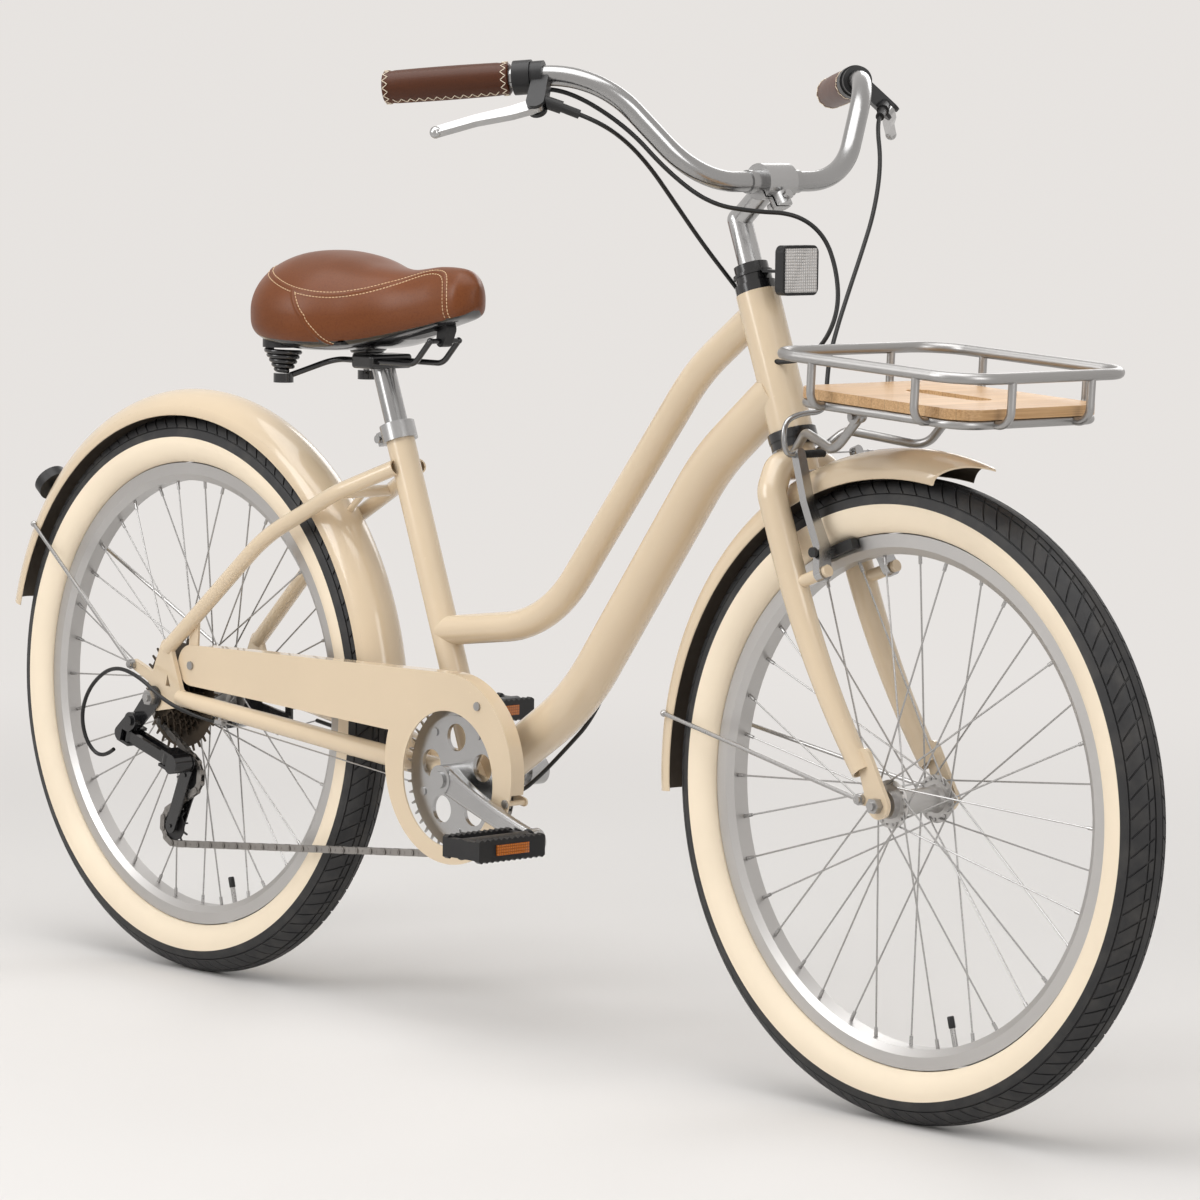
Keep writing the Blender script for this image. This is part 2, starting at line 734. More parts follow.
# Dressing of the frame's own nodes

FENDER_ARCH_CENTRE = 342.0
FACES_WHEEL = -0.35
REAR_LENS_ANGLE = 142.0
REAR_LENS_SKIN = 0.8
HEAD_LENS_HALF = (2.5, 23.7, 23.7)
HEAD_LENS_DROP = 27.0
PEDAL_LENS_HALF = (1.5, 24.0, 6.0)
LENS_SLACK = 0.06
NODE_FINISHES: dict[Finish, tuple[str, ...]] = {
    CREAM: ("main_frame", "rear_triangle", "fork", "front_fender", "rear_fender", "chain_guard"),
    POLISHED: ("handlebar", "seatpost"),
    FORGED: ("stem", "seat_clamp", "crankset", "chainring", "brake_lever_left", "brake_lever_right",
             "brake_arm_left", "brake_arm_right"),
    SATIN_TUBE: ("basket_frame", "basket_bracket"),
    RIM_METAL: ("front_rim", "rear_rim", "front_hub", "rear_hub"),
    SPOKE_STEEL: ("front_spokes", "rear_spokes", "front_fender_stay", "rear_fender_stay"),
    BOLT_STEEL: ("front_axle", "rear_axle", "frame_fasteners"),
    CHAIN_STEEL: ("chain",),
    COG_STEEL: ("sprockets",),
    BLACK_PAINT: ("bearing_cups", "headset_races", "derailleur_outer_link", "derailleur_inner_link",
                  "rear_brake", "rear_brake_arm", "derailleur_hanger", "derailleur_knuckle",
                  "derailleur_cage", "saddle_rails"),
    BLACK_PLASTIC: ("lever_mounts", "twist_shifter", "jockey_upper", "jockey_lower", "saddle_pan"),
    BLACK_RUBBER: ("brake_pads_left", "brake_pads_right"),
}


def face_corners(node: str) -> Array:
    """The three corners of each triangle of a frame node, as triangles by 3 by 3."""
    mesh = frame["nodes"][node].data
    points = np.zeros(len(mesh.vertices) * 3)
    numbers = np.zeros(len(mesh.loops), np.int32)
    mesh.vertices.foreach_get("co", points)
    mesh.loops.foreach_get("vertex_index", numbers)
    return points.reshape(-1, 3)[numbers.reshape(-1, 3)]


def inside_fender(node: str, axle: Array, arch_centre: float) -> Array:
    """True for the faces of a fender that look at the wheel.

    Args:
        node: Name of the fender's node.
        axle: Middle of its wheel.
        arch_centre: Distance from the axle to the centre of the fender's arched section, in mm.

    Returns:
        One truth value for each triangle.
    """
    corners = face_corners(node)
    middle = corners.mean(axis=1) - axle
    normal = unit_rows(np.cross(corners[:, 1] - corners[:, 0], corners[:, 2] - corners[:, 0]))
    radial = unit_rows(middle * np.array([1.0, 0.0, 1.0]))
    outward = middle - radial * arch_centre * MM
    return np.einsum("ij,ij->i", unit_rows(outward), normal) < FACES_WHEEL


def lens_faces(node: str, lens_centre: Array, half_size: Array) -> Array:
    """True for the triangles of a node that lie wholly in a box round a lens, in metres."""
    return np.all(np.abs(face_corners(node) - lens_centre) <= half_size + LENS_SLACK * MM, axis=(1, 2))


def dress_node(node: str, finish: bpy.types.Material, second: Optional[bpy.types.Material] = None,
               picked: Optional[Array] = None) -> None:
    """Gives a frame node its finish, and picked faces a second one.

    Args:
        node: Name of the node.
        finish: Material of the node.
        second: Material of the picked faces.
        picked: True for each face that takes the second material.
    """
    mesh = frame["nodes"][node].data
    mesh.materials.clear()
    mesh.materials.append(finish)
    index = np.zeros(len(mesh.polygons), np.int32)
    if second is not None:
        mesh.materials.append(second)
        index = picked.astype(np.int32)
    mesh.polygons.foreach_set("material_index", index)
    mesh.update()


def dress_frame() -> None:
    """Gives every frame node its finish."""
    for finish, nodes in NODE_FINISHES.items():
        for node in nodes:
            dress_node(node, finish.material())
    for node, axle in (("front_fender", FRONT_AXLE), ("rear_fender", REAR_AXLE)):
        picked = inside_fender(node, axle, FENDER_ARCH_CENTRE)
        dress_node(node, CREAM.material(), FENDER_INSIDE.material(), picked)
    dress_node("basket_deck", bamboo_material())
    dress_lenses()


def dress_lenses() -> None:
    """Gives the front, rear and pedal reflectors their lenses."""
    high = np.array(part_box("front_reflector")[1])
    half = np.array(HEAD_LENS_HALF) * MM
    middle = np.array([high[0] - half[0], 0.0, high[2] - HEAD_LENS_DROP * MM])
    picked = lens_faces("front_reflector", middle, half)
    dress_node("front_reflector", BLACK_PLASTIC.material(), CLEAR_LENS.material(), picked)
    half = np.array(PEDAL_LENS_HALF) * MM
    for node in ("pedal_left", "pedal_right"):
        low, high = (np.array(corner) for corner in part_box(node))
        middle = (low + high) / 2.0
        reach = np.array([(high[0] - low[0]) / 2.0 - half[0], 0.0, 0.0])
        picked = lens_faces(node, middle + reach, half) | lens_faces(node, middle - reach, half)
        dress_node(node, BLACK_PLASTIC.material(), AMBER.material(), picked)
    turn = math.radians(REAR_LENS_ANGLE)
    depth = (face_corners("rear_reflector") - REAR_AXLE) @ np.array([math.cos(turn), 0.0, math.sin(turn)])
    picked = np.all(depth > depth.max() - REAR_LENS_SKIN * MM, axis=1)
    dress_node("rear_reflector", BLACK_PLASTIC.material(), RED_LENS.material(), picked)


# Sub-assemblies

def finish_piece(piece: bpy.types.Object, finish: bpy.types.Material, body: str) -> None:
    """Gives a piece its finish and slot and fixes it to a body."""
    piece.data.materials.append(finish)
    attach(piece, body)
    LOG.info("%s: %d faces on %s", piece.name, len(piece.data.polygons), body)


def smooth_rows(points: Array, count: int) -> Array:
    """A curve through points: each span is the cubic whose end slopes are half its neighbours' difference.

    Args:
        points: One row for each point, in any number of columns.
        count: Points wanted, evenly shared over the spans.

    Returns:
        One row for each point of the curve.
    """
    spot = np.linspace(0.0, len(points) - 1.0, count)
    span = np.minimum(spot.astype(int), len(points) - 2)
    share = (spot - span)[:, None]
    padded = np.vstack([2.0 * points[0] - points[1], points, 2.0 * points[-1] - points[-2]])
    before, first, second, after = (padded[span + shift] for shift in range(4))
    slope, next_slope = (second - before) / 2.0, (after - first) / 2.0
    square, cube = share ** 2, share ** 3
    return (first * (2.0 * cube - 3.0 * square + 1.0) + slope * (cube - 2.0 * square + share)
            + second * (3.0 * square - 2.0 * cube) + next_slope * (cube - square))


@dataclass
class Tyre:
    """A balloon tyre with a moulded tread, pale walls and the inner tube's valve. Sizes in mm."""

    label: str
    axle: Array
    crown: float = 346.0
    half_width: float = 29.0
    rim_radius: float = 285.5
    swell_share: float = 0.43
    bead_side: float = 12.9
    bead_gap: float = 1.0
    wall: float = 3.5
    pitches: int = 104
    groove_depth: float = 1.6
    wall_edges: tuple[float, float] = (80.0, 168.0)
    wall_rise: float = 0.35
    ring_angles: tuple[float, ...] = (
        0.0, 8.4, 9.2, 11.4, 12.2, 17.5, 22.6, 23.4, 25.6, 26.4, 32.0, 38.0, 44.0, 50.0, 56.0, 59.4, 60.2,
        61.8, 62.6, 68.0, 74.0, 79.7, 80.3, 90.0, 100.0, 112.0, 124.0, 136.0, 148.0, 160.0, 170.0, 180.0)
    inner_angles: tuple[float, ...] = (170.0, 130.0, 90.0, 45.0, 0.0, -45.0, -90.0, -130.0, -170.0)
    grooves: tuple[tuple[float, float], ...] = ((9.0, 11.6), (23.2, 25.8), (60.0, 62.0))
    tread: tuple[float, float] = (12.0, 59.0)
    tread_lean: tuple[float, float] = (0.75, 0.35)
    row_steps: tuple[float, ...] = (0.0, 0.035, 0.105, 0.14, 0.42, 0.71)
    row_cuts: tuple[bool, ...] = (False, True, True, False, False, False)
    valve_angle: float = -75.0
    valve_base: float = 268.0
    stem_profile: tuple[tuple[float, float], ...] = ((0.0, 0.01), (0.0, 3.0), (26.0, 3.0), (26.0, 0.01))
    cap_profile: tuple[tuple[float, float], ...] = (
        (24.4, 0.01), (24.4, 3.4), (25.2, 3.8), (36.4, 3.8), (37.4, 3.0), (37.4, 0.01))

    def section(self, angle: Array, shrink: float) -> tuple[Array, Array]:
        """Radius and side of the section: a quarter ellipse from crown to swell, another down to the bead.

        Args:
            angle: Degrees from the crown; 90 is the widest place and 180 the bead.
            shrink: How far inside the outer skin, in mm.

        Returns:
            The distance from the axle and the side distance.
        """
        swell = self.rim_radius + self.swell_share * (self.crown - self.rim_radius)
        turn = np.radians(np.abs(angle))
        upper = np.abs(angle) <= 90.0
        radius = np.where(upper, swell + (self.crown - shrink - swell) * np.cos(turn),
                          swell + (swell - self.rim_radius - self.bead_gap) * np.cos(turn))
        half = self.half_width - shrink
        bead = self.bead_side - shrink
        side = np.where(upper, half * np.sin(turn), bead + (half - bead) * np.sin(turn))
        return radius, side * np.sign(angle)

    def build(self) -> None:
        """Makes the tyre and its valve and puts them in the node's place."""
        self._skin()
        self._valve()

    def _skin(self) -> None:
        """Rings of the section round the axle, whose rows follow the slanted tread cuts."""
        half = np.array(self.ring_angles)
        outer = np.concatenate([-half[:0:-1], half])
        inner = np.array(self.inner_angles)
        out_radius, out_side = self.section(outer, 0.0)
        in_radius, in_side = self.section(inner, self.wall)
        radius = np.concatenate([out_radius, in_radius])
        side = np.concatenate([out_side, in_side])
        angle = np.abs(np.concatenate([outer, np.full(len(inner), 180.0)]))
        ring_cut = np.zeros(len(angle), bool)
        for low, high in self.grooves:
            ring_cut |= (angle > low) & (angle < high)
        row_share = (np.arange(self.pitches)[:, None] + np.array(self.row_steps)[None, :]).ravel()
        row_cut = np.tile(self.row_cuts, self.pitches)
        first, last = self.tread
        slanted = (angle > first) & (angle < last)
        cut = ring_cut[None, :] | (row_cut[:, None] & slanted[None, :])
        reach = np.clip((angle - first) / (last - first), 0.0, 1.0)
        lean = self.tread_lean[0] * reach + self.tread_lean[1] * reach ** 2
        turn = 2.0 * math.pi * (row_share[:, None] - lean[None, :]) / self.pitches
        raised = np.where((angle > self.wall_edges[0]) & (angle < self.wall_edges[1]), self.wall_rise, 0.0)
        depth = np.where(cut, self.groove_depth, 0.0) - raised[None, :]
        upper = np.radians(np.clip(angle, 0.0, 90.0))
        deep_radius = radius[None, :] - depth * np.cos(upper)[None, :]
        deep_side = side[None, :] - depth * (np.sin(upper) * np.sign(side))[None, :]
        points = np.stack([deep_radius * np.cos(turn), deep_side, deep_radius * np.sin(turn)], axis=-1) * MM
        skin = grid_piece(self.label + "_tyre_skin", points + self.axle, wrap_rows=True, smooth_angle=35.0)
        wall = skin.data.attributes.new("wall", "FLOAT", "POINT")
        wall.data.foreach_set("value", np.tile(angle / 180.0, len(row_share)).astype(np.float32))
        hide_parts(self.label + "_tyre")
        finish_piece(skin, tyre_material(self.wall_edges[0] / 180.0), self.label + "_wheel")

    def _valve(self) -> None:
        """The valve's stem and its cap, turned round a spoke direction."""
        turn = math.radians(self.valve_angle)
        inward = np.array([-math.cos(turn), 0.0, -math.sin(turn)])
        base = self.axle - inward * self.valve_base * MM
        for name, profile, finish, slot in (("stem", self.stem_profile, SPOKE_STEEL, "zinc_steel"),
                                            ("cap", self.cap_profile, BLACK_PLASTIC, "black_plastic")):
            rings = lathe_rings(base, inward, np.array(profile), 20)
            piece = grid_piece(f"{self.label}_valve_{name}", rings)
            finish_piece(piece, finish.material(), self.label + "_wheel")


@dataclass
class FenderSkirts:
    """The two rolled sides that carry a fender down beside its tyre. Sizes in mm, angles in degrees."""

    label: str
    axle: Array
    body: str
    start: float
    end: float
    tip_slope: float = 0.0
    edge_radius: float = 356.0
    edge_side: float = 31.0
    edge_lean: float = 24.3
    roll: float = 20.0
    drop: float = 3.0
    thickness: float = 1.9
    hem: tuple[float, float] = (0.35, 0.5)
    roll_steps: int = 7
    steps: int = 72

    def build(self) -> None:
        """Makes the skirt on each side of the wheel."""
        self._skirt("right", -1.0)
        self._skirt("left", 1.0)

    def section(self) -> tuple[Array, Array]:
        """Radius and side round the skirt's section, closed.

        The outer face leaves the fender's edge at its lean, turns on an arc until it points at the axle and
        drops straight; the inner face is the same line nearer to the wheel's plane.

        Returns:
            The distance from the axle and the side distance.
        """
        lean = np.radians(np.linspace(self.edge_lean, 0.0, self.roll_steps))
        first = lean[0]
        radius = self.edge_radius - self.roll * (math.sin(first) - np.sin(lean))
        side = self.edge_side + self.roll * (np.cos(lean) - math.cos(first))
        radius = np.append(radius, radius[-1] - self.drop)
        side = np.append(side, side[-1])
        hem_radius = radius[-1] - self.thickness * self.hem[0]
        hem_side = side[-1] - self.thickness * self.hem[1]
        return (np.concatenate([radius, [hem_radius], radius[::-1]]),
                np.concatenate([side, [hem_side], side[::-1] - self.thickness]))

    def _skirt(self, name: str, hand: float) -> None:
        """The section carried round the axle; its front end follows the fender's slanted tip."""
        radius, side = self.section()
        begin = self.start + np.degrees(np.arcsin(self.tip_slope * side / radius))
        share = np.linspace(0.0, 1.0, self.steps)[:, None]
        turn = np.radians(begin + (self.end - begin) * share)
        across = np.broadcast_to(hand * side, turn.shape)
        points = np.stack([radius * np.cos(turn), across, radius * np.sin(turn)], axis=-1) * MM + self.axle
        count = len(radius)
        inner = np.arange(count) >= count // 2 + 1
        if hand < 0.0:
            points = points[:, ::-1]
            inner = np.roll(inner[::-1], -1)
        skirt = grid_piece(f"{self.label}_fender_skirt_{name}", points)
        finish_piece(skirt, CREAM.material(), self.body)
        skirt.data.materials.append(FENDER_INSIDE.material())
        picked = np.zeros(len(skirt.data.polygons), np.int32)
        picked[:(self.steps - 1) * count] = np.tile(inner, self.steps - 1)
        skirt.data.polygons.foreach_set("material_index", picked)


@dataclass
class Saddle:
    """The padded saddle top with its seams, and the two springs under it. Sizes in mm from the rear axle."""

    rows: tuple[tuple[float, float, float, float], ...] = (
        (191.0, 74.0, 860.0, 800.0), (211.0, 97.0, 877.0, 778.0), (250.0, 109.0, 886.0, 769.0),
        (300.0, 102.0, 882.0, 768.0), (350.0, 77.0, 871.0, 774.0), (400.0, 48.0, 866.0, 787.0),
        (450.0, 32.0, 871.0, 800.0), (490.0, 26.0, 869.0, 811.0), (512.0, 17.0, 858.0, 823.0))
    main_seam: tuple[tuple[float, float], ...] = (
        (199.0, 90.0), (200.0, 74.0), (206.0, 58.0), (222.0, 44.0), (250.0, 33.0), (290.0, 25.0),
        (330.0, 24.0), (370.0, 32.0), (405.0, 47.0), (436.0, 59.0), (458.0, 60.0), (472.0, 48.0),
        (480.0, 24.0), (483.0, -8.0), (484.0, -46.0))
    side_seam: tuple[tuple[float, float], ...] = ((288.0, 25.0), (303.0, 7.0), (320.0, -12.0), (334.0, -50.0))
    widest: float = 0.36
    end_reaches: tuple[float, float] = (26.0, 20.0)
    end_height: float = 0.55
    low_powers: tuple[float, float] = (0.45, 0.6)
    valley: float = 1.5
    valley_share: float = 0.30
    valley_starts: tuple[float, float] = (205.0, 245.0)
    valley_ends: tuple[float, float] = (320.0, 420.0)
    cover_grid: tuple[int, int] = (250, 300)
    seam_points: tuple[int, int] = (260, 90)
    end_crowding: float = 0.06
    end_inset: float = 0.05
    underside: float = -0.72
    seam_depth: float = 1.3
    seam_width: float = 1.9
    stitch_offset: float = 3.4
    stitch_step: float = 4.2
    stitch_half: float = 0.38
    stitch_lift: float = 0.2
    thread: float = 0.62
    spring_place: tuple[float, float] = (236.0, 65.0)
    spring_heights: tuple[float, float] = (739.0, 770.0)
    spring_radii: tuple[float, float] = (8.0, 21.0)
    spring_turns: float = 4.5
    spring_wire: float = 2.9
    spring_keep: float = 0.64

    def surface(self, x: Array, angle: Array) -> Array:
        """Points of the cover on smoothed rows: an ellipse above the widest line, a squarer curve below it.

        Args:
            x: Millimetres in front of the rear axle.
            angle: Degrees round the section, 0 at the left side, 90 on top and -90 below.

        Returns:
            Points in metres, in the shape of the two arrays broadcast together.
        """
        x, angle = np.broadcast_arrays(x, angle)
        dense = smooth_rows(np.array(self.rows), 400)
        half, top, low = (np.interp(x, dense[:, 0], dense[:, column]) for column in (1, 2, 3))
        end = np.minimum(smooth_end(x - self.rows[0][0], self.end_reaches[0]),
                         smooth_end(self.rows[-1][0] - x, self.end_reaches[1]))
        turn = np.radians(angle)
        middle = low + self.widest * (top - low)
        below = np.sin(turn) < 0.0
        wide, deep = self.low_powers
        across = np.where(below, np.sign(np.cos(turn)) * np.abs(np.cos(turn)) ** wide, np.cos(turn))
        along = np.where(below, -np.abs(np.sin(turn)) ** deep, np.sin(turn))
        y = half * across * end
        rise = along * (self.end_height + (1.0 - self.end_height) * end)
        height = np.where(below, middle - low, top - middle) * rise
        dent = np.exp(-(y / (self.valley_share * half + 1.0)) ** 2) * np.maximum(np.sin(turn), 0.0) ** 4
        fade = smooth_step(*self.valley_starts, x) * (1.0 - smooth_step(*self.valley_ends, x))
        z = middle + height - self.valley * dent * fade
        return place(x, y, z)

    def seam_path(self, knots: Sequence[tuple[float, float]], count: int) -> tuple[Array, Array]:
        """A seam as evenly spaced points on the cover, with the outward direction at each.

        Args:
            knots: Places and section angles that the seam passes.
            count: Points wanted.

        Returns:
            The points, and the unit normals of the cover there.
        """
        fine = smooth_rows(np.array(knots), 1200)
        travel = travel_along(self.surface(fine[:, 0], fine[:, 1]))
        x, angle = rows_at(np.linspace(0.0, travel[-1], count), travel, fine).T
        across = self.surface(x, angle + 1.0) - self.surface(x, angle - 1.0)
        along = self.surface(x + 0.5, angle) - self.surface(x - 0.5, angle)
        return self.surface(x, angle), unit_rows(np.cross(along, across))

    def build(self) -> None:
        """Makes the cover, its stitches and the springs."""
        main, main_out = self.seam_path(self.main_seam, self.seam_points[0])
        side, side_out = self.seam_path(self.side_seam, self.seam_points[1])
        self._cover([main, main * MIRROR, side, side * MIRROR])
        rows = (("main", main, main_out, (-1.0, 1.0)), ("side", side, side_out, (1.0,)))
        for name, path, out, signs in rows:
            for number, sign in enumerate(signs, start=1):
                self._stitches(f"saddle_{name}_stitches_{number}", path, out, sign * self.stitch_offset * MM)
        self._springs()

    def _cover(self, seams: list[Array]) -> None:
        """The cover's grid, drawn in along the seams by a bell curve of the distance to them."""
        rows, columns = self.cover_grid
        share = np.linspace(0.0, 1.0, rows)
        eased = share - self.end_crowding * np.sin(2.0 * math.pi * share) / math.pi
        back, front = self.rows[0][0] + self.end_inset, self.rows[-1][0] - self.end_inset
        x = back + (front - back) * eased
        angle = np.linspace(-90.0, 270.0, columns, endpoint=False)
        points = self.surface(x[:, None], angle[None, :])
        nearest = np.full(points.shape[:2], 1.0)
        for seam in seams:
            for place_on_seam in seam[::2]:
                np.minimum(nearest, np.sum((points - place_on_seam) ** 2, axis=-1), out=nearest)
        across = np.roll(points, -1, axis=1) - np.roll(points, 1, axis=1)
        along = np.gradient(points, axis=0)
        outward = unit_rows(np.cross(along, across))
        dip = self.seam_depth * MM * np.exp(-nearest / (self.seam_width * MM) ** 2)
        cover = grid_piece("saddle_leather_cover", points - outward * dip[..., None], smooth_angle=60.0)
        normals = np.zeros(len(cover.data.polygons) * 3)
        cover.data.polygons.foreach_get("normal", normals)
        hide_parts("saddle_cover")
        finish_piece(cover, SADDLE_LEATHER.material(), "saddle_top")
        cover.data.materials.append(BLACK_PAINT.material())
        under = normals.reshape(-1, 3)[:, 2] < self.underside
        cover.data.polygons.foreach_set("material_index", under.astype(np.int32))

    def _stitches(self, name: str, path: Array, out: Array, offset: float) -> None:
        """One row of stitches beside a seam, on both sides of the saddle."""
        along = unit_rows(np.gradient(path, axis=0))
        aside = unit_rows(np.cross(out, along))
        line = path + aside * offset + out * self.stitch_lift * MM
        travel = travel_along(line)
        step = self.stitch_step * MM
        wanted = np.arange(step, travel[-1], step)
        one_side = [rows_at(wanted, travel, rows) for rows in (line, along, out)]
        both = [np.vstack([rows, rows * MIRROR]) for rows in one_side]
        piece = stitch_piece(name, *both, length=self.stitch_half * step, radius=self.thread * MM)
        finish_piece(piece, THREAD.material(), "saddle_top")

    def _springs(self) -> None:
        """Two conical springs: a wire round a circle that widens and rises evenly with its turn."""
        turn = np.linspace(0.0, 2.0 * math.pi * self.spring_turns, 270)
        share = turn / turn[-1]
        radius = self.spring_radii[0] + (self.spring_radii[1] - self.spring_radii[0]) * share
        low, high = self.spring_heights[0] + self.spring_wire, self.spring_heights[1] - self.spring_wire
        height = low + (high - low) * share
        for label, side in (("left", 1.0), ("right", -1.0)):
            x, y = self.spring_place
            path = place(x + radius * np.cos(turn), side * (y + radius * np.sin(turn)), height)
            rings = tube_rings(path, self.spring_wire * MM, 14, UP)
            piece = grid_piece(f"saddle_spring_{label}", rings)
            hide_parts("saddle_springs")
            finish_piece(piece, BLACK_PAINT.material(), "saddle_post")
            tuple(place(x, side * y, self.spring_heights[0]))
            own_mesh(piece)


@dataclass
class Grips:
    """The two leather grips with their laced seams. Sizes in mm along the right grip."""

    length: float = 139.0
    radius: float = 17.5
    swelling: float = 0.8
    overhang: float = 4.0
    bar_radius: float = 11.15
    pinch: float = 0.5
    pinch_place: float = 10.0
    pinch_width: float = 1.5
    thread: float = 0.5
    thread_lift: float = 0.25
    ring_places: tuple[float, float] = (4.5, 4.8)
    ring_laces: int = 13
    long_inset: float = 11.0
    long_laces: int = 12
    lace_half: float = 2.8
    lace_steps: int = 16
    lace_lean: tuple[float, float] = (0.52, 0.86)
    lace_guide: tuple[float, float, float] = (0.31, 0.17, 0.93)

    def barrel(self, along: Array) -> Array:
        """Radius of the leather: a slow swelling to the middle."""
        return self.radius + self.swelling * np.sin(np.clip(along / self.length, 0.0, 1.0) * math.pi)

    def build(self) -> None:
        """Makes both grips and their lacing."""
        self._sleeves()
        self._lacing()

    def directions(self) -> tuple[Array, Array]:
        """Two directions square to the grip: forward and down."""
        down = unit_rows(GRIP_IN * np.dot(UP, GRIP_IN) - UP)
        return np.cross(down, GRIP_IN), down

    def _sleeves(self) -> None:
        """A closed barrel turned round the bar, drawn in at both ends where it is laced."""
        start, length = -self.overhang, self.length - self.overhang
        body = np.linspace(3.0, self.length - 3.0, 40)
        pinch = sum(self.pinch * np.exp(-((body - middle) / self.pinch_width) ** 2)
                    for middle in (self.pinch_place, self.length - self.pinch_place))
        profile = np.vstack([
            [[start, 0.01], [start, self.radius - 4.0], [start + 0.5, self.radius - 1.8],
             [start + 1.6, self.radius - 0.4]],
            np.stack([body + start, self.barrel(body) - pinch], axis=-1),
            [[length - 1.4, self.radius - 0.5], [length - 0.4, self.radius - 1.6],
             [length, self.radius - 3.2], [length, self.bar_radius], [length - 9.0, self.bar_radius]]])
        for label, flip in SIDES.items():
            rings = lathe_rings(GRIP_END, GRIP_IN, profile, 64) * flip
            rings = rings if label == "right" else rings[:, ::-1]
            piece = grid_piece(f"grip_leather_{label}", rings, smooth_angle=50.0)
            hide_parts("grips")
            finish_piece(piece, GRIP_LEATHER.material(), "steering")

    def _lacing(self) -> None:
        """Thread that goes to and fro in a zigzag round both ends and along the underside."""
        fore, down = self.directions()
        under = unit_rows(self.lace_lean[0] * fore + self.lace_lean[1] * down)
        beside = np.cross(GRIP_IN, under)
        places = (self.ring_places[0], self.length - self.ring_places[1])
        turn = np.linspace(0.0, 2.0 * math.pi, self.ring_laces * self.lace_steps + 1)
        sway = self.lace_half * zigzag(turn / (2.0 * math.pi) * self.ring_laces)
        paths = [self._on_leather(middle + sway, turn, under, beside) for middle in places]
        share = np.linspace(0.0, 1.0, self.long_laces * self.lace_steps + 1)
        along = self.long_inset + (self.length - 2.0 * self.long_inset) * share
        turn = self.lace_half / self.radius * zigzag(share * self.long_laces)
        paths.append(self._on_leather(along, turn, under, beside))
        for label, flip in SIDES.items():
            for number, path in enumerate(paths, start=1):
                rings = tube_rings(path * flip, self.thread * MM, 6, np.array(self.lace_guide))
                piece = grid_piece(f"grip_lace_{label}_{number}", rings, smooth_angle=80.0)
                finish_piece(piece, GRIP_THREAD.material(), "steering")

    def _on_leather(self, along: Array, turn: Array, under: Array, beside: Array) -> Array:
        """Points on the leather by their distance in from its end and their turn from the underside."""
        radius = (self.barrel(along) + self.thread_lift)[:, None] * MM
        spread = np.cos(turn)[:, None] * under + np.sin(turn)[:, None] * beside
        return GRIP_END + GRIP_IN * (along[:, None] - self.overhang) * MM + radius * spread


def zigzag(count: Array) -> Array:
    """A wave of straight runs between -1 and 1, once for each whole number."""
    return 1.0 - 4.0 * np.abs((count % 1.0) - 0.5)


def smooth_end(distance: Array, reach: float) -> Array:
    """A quarter of an ellipse from 0 at the end to 1 at a reach from it."""
    share = np.clip(1.0 - distance / reach, 0.0, 1.0)
    return np.sqrt(1.0 - share ** 2)


CABLE_GUIDE = np.array([0.41, 0.23, 0.88])
WIRE_GUIDE = np.array([0.0, 0.3, 1.0])
BEND_GUIDE = np.array([0.93, 0.17, 0.21])


